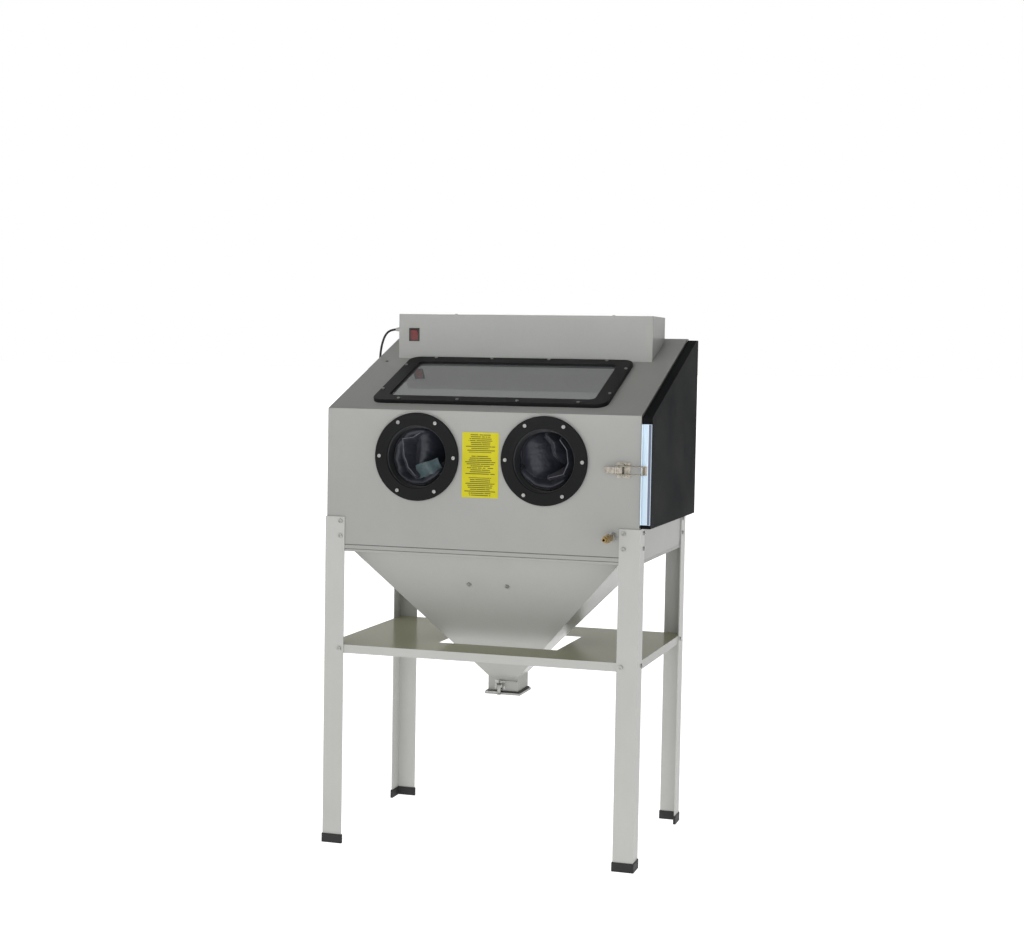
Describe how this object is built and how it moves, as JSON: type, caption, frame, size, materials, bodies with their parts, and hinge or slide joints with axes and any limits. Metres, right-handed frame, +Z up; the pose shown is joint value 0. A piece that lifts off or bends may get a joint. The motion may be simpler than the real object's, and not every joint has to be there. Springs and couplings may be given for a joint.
{
  "type": "sandblast cabinet",
  "caption": "Free-standing sandblast cabinet with glove ports, sloping window, lit hood, side door and a grit hopper over a shelf on angle legs.",
  "frame": {"origin": "on the floor, under the middle of the bounding box measured without the mains lead", "axes": "+X to the right of a person at the glove ports, +Y to the back, +Z up"},
  "size_m": [0.9985, 0.767, 1.5852],
  "materials": {
    "cabinet_paint": "gloss light grey paint on sheet steel",
    "black_texture": "fine-textured black powder coat",
    "frame_black": "satin black moulding",
    "rubber_black": "black rubber",
    "glove_rubber": "blue-black coated glove fabric",
    "window_glass": "clear laminated glass",
    "lamp_glass": "clear pane",
    "lamp_white": "opal lamp tube",
    "white_plastic": "white lamp holder",
    "white_paint": "white reflector paint",
    "zinc": "bright zinc plate",
    "nickel": "nickel plate",
    "aluminium": "anodised extrusion",
    "brass": "machined brass",
    "switch_black": "black moulding",
    "switch_red": "red moulding",
    "gland_grey": "grey moulding",
    "cord_black": "black cord sheath",
    "label_yellow": "printed yellow film",
    "gun_alloy": "cast alloy",
    "ceramic": "white ceramic",
    "steel_tube": "plain steel"
  },
  "bodies": {
    "cabinet": {"front_panel": "cabinet_paint", "slope_panel": "cabinet_paint", "back_panel": "cabinet_paint", "left_panel": "cabinet_paint", "door_frame": "cabinet_paint", "bottom_frame": "cabinet_paint", "hopper": "cabinet_paint", "hopper_spout": "cabinet_paint", "pickup_tube": "steel_tube", "trap_hinge": "cabinet_paint", "trap_latch_base": "zinc", "frame_bolts": "zinc", "shelf": "cabinet_paint", "legs": "cabinet_paint", "feet": "rubber_black", "glove_ring_left": "frame_black", "glove_ring_right": "frame_black", "glove_ring_screws": "zinc", "glove_left": "glove_rubber", "glove_right": "glove_rubber", "window_frame": "frame_black", "window_glass": "window_glass", "window_gasket": "rubber_black", "window_screws": "zinc", "light_box": "cabinet_paint", "light_box_screws": "zinc", "lamp_glass": "lamp_glass", "lamp_tube": "lamp_white", "lamp_holders": "white_plastic", "lamp_reflector": "white_paint", "switch_bezel": "switch_black", "cable_gland": "gland_grey", "hinge_frame_leaves": "zinc", "hinge_pins": "zinc", "latch_base": "nickel", "inlet_nut": "zinc", "inlet_fitting": "brass", "exhaust_spigot": "cabinet_paint", "front_label": "label_yellow", "power_cord": "cord_black", "cord_coil": "cord_black", "cord_tie": "cord_black", "cord_hook": "zinc", "mains_plug": "cord_black"},
    "door": {"door_pan": "black_texture", "door_liner": "rubber_black", "door_seal": "rubber_black", "door_edge_grip": "aluminium", "door_strike": "nickel", "hinge_door_leaves": "zinc"},
    "latch_lever": {"latch_lever": "nickel"},
    "latch_bail": {"latch_bail": "nickel"},
    "trap_door": {"trap_door": "cabinet_paint", "trap_seal": "rubber_black"},
    "trap_latch": {"trap_latch": "zinc"},
    "switch_rocker": {"switch_rocker": "switch_red"},
    "grate": {"work_grate": "steel_tube"},
    "gun": {"gun_body": "gun_alloy", "gun_nozzle": "ceramic"},
    "gun_trigger": {"gun_trigger": "gun_alloy"}
  },
  "joints": [
    {"name": "door_hinge", "type": "hinge", "parent": "cabinet", "child": "door", "pos_m": [0.4695, 0.3441, 1.245], "axis": [0, 0, 1], "range_deg": [0, 115]},
    {"name": "latch_lever_pivot", "type": "hinge", "parent": "cabinet", "child": "latch_lever", "pos_m": [0.416, -0.3005, 1.141], "axis": [0, 0, 1], "range_deg": [0, 120]},
    {"name": "latch_bail_pivot", "type": "hinge", "parent": "latch_lever", "child": "latch_bail", "pos_m": [0.401, -0.3055, 1.141], "axis": [0, 0, 1], "range_deg": [-120, 0]},
    {"name": "trap_door_hinge", "type": "hinge", "parent": "cabinet", "child": "trap_door", "pos_m": [-0.004, 0.0845, 0.447], "axis": [1, 0, 0], "range_deg": [0, 95]},
    {"name": "trap_latch_pivot", "type": "hinge", "parent": "cabinet", "child": "trap_latch", "pos_m": [-0.012, -0.0395, 0.46], "axis": [1, 0, 0], "range_deg": [-100, 0]},
    {"name": "switch_rocker_pivot", "type": "hinge", "parent": "cabinet", "child": "switch_rocker", "pos_m": [-0.36, 0.1245, 1.519], "axis": [1, 0, 0], "range_deg": [-16, 0]},
    {"name": "grate_lift", "type": "slide", "parent": "cabinet", "child": "grate", "axis": [0, 0, 1], "range_m": [0, 0.03]},
    {"name": "gun_lift", "type": "slide", "parent": "grate", "child": "gun", "axis": [0, 0, 1], "range_m": [0, 0.1]},
    {"name": "gun_trigger_pivot", "type": "hinge", "parent": "gun", "child": "gun_trigger", "pos_m": [-0.026, -0.0255, 0.9171], "axis": [0, 0, 1], "range_deg": [-14, 0], "stiffness_Nm_per_rad": 0.3}
  ],
  "couplings": [
    {"joint": "latch_bail_pivot", "follows": "latch_lever_pivot", "ratio": -1}
  ]
}
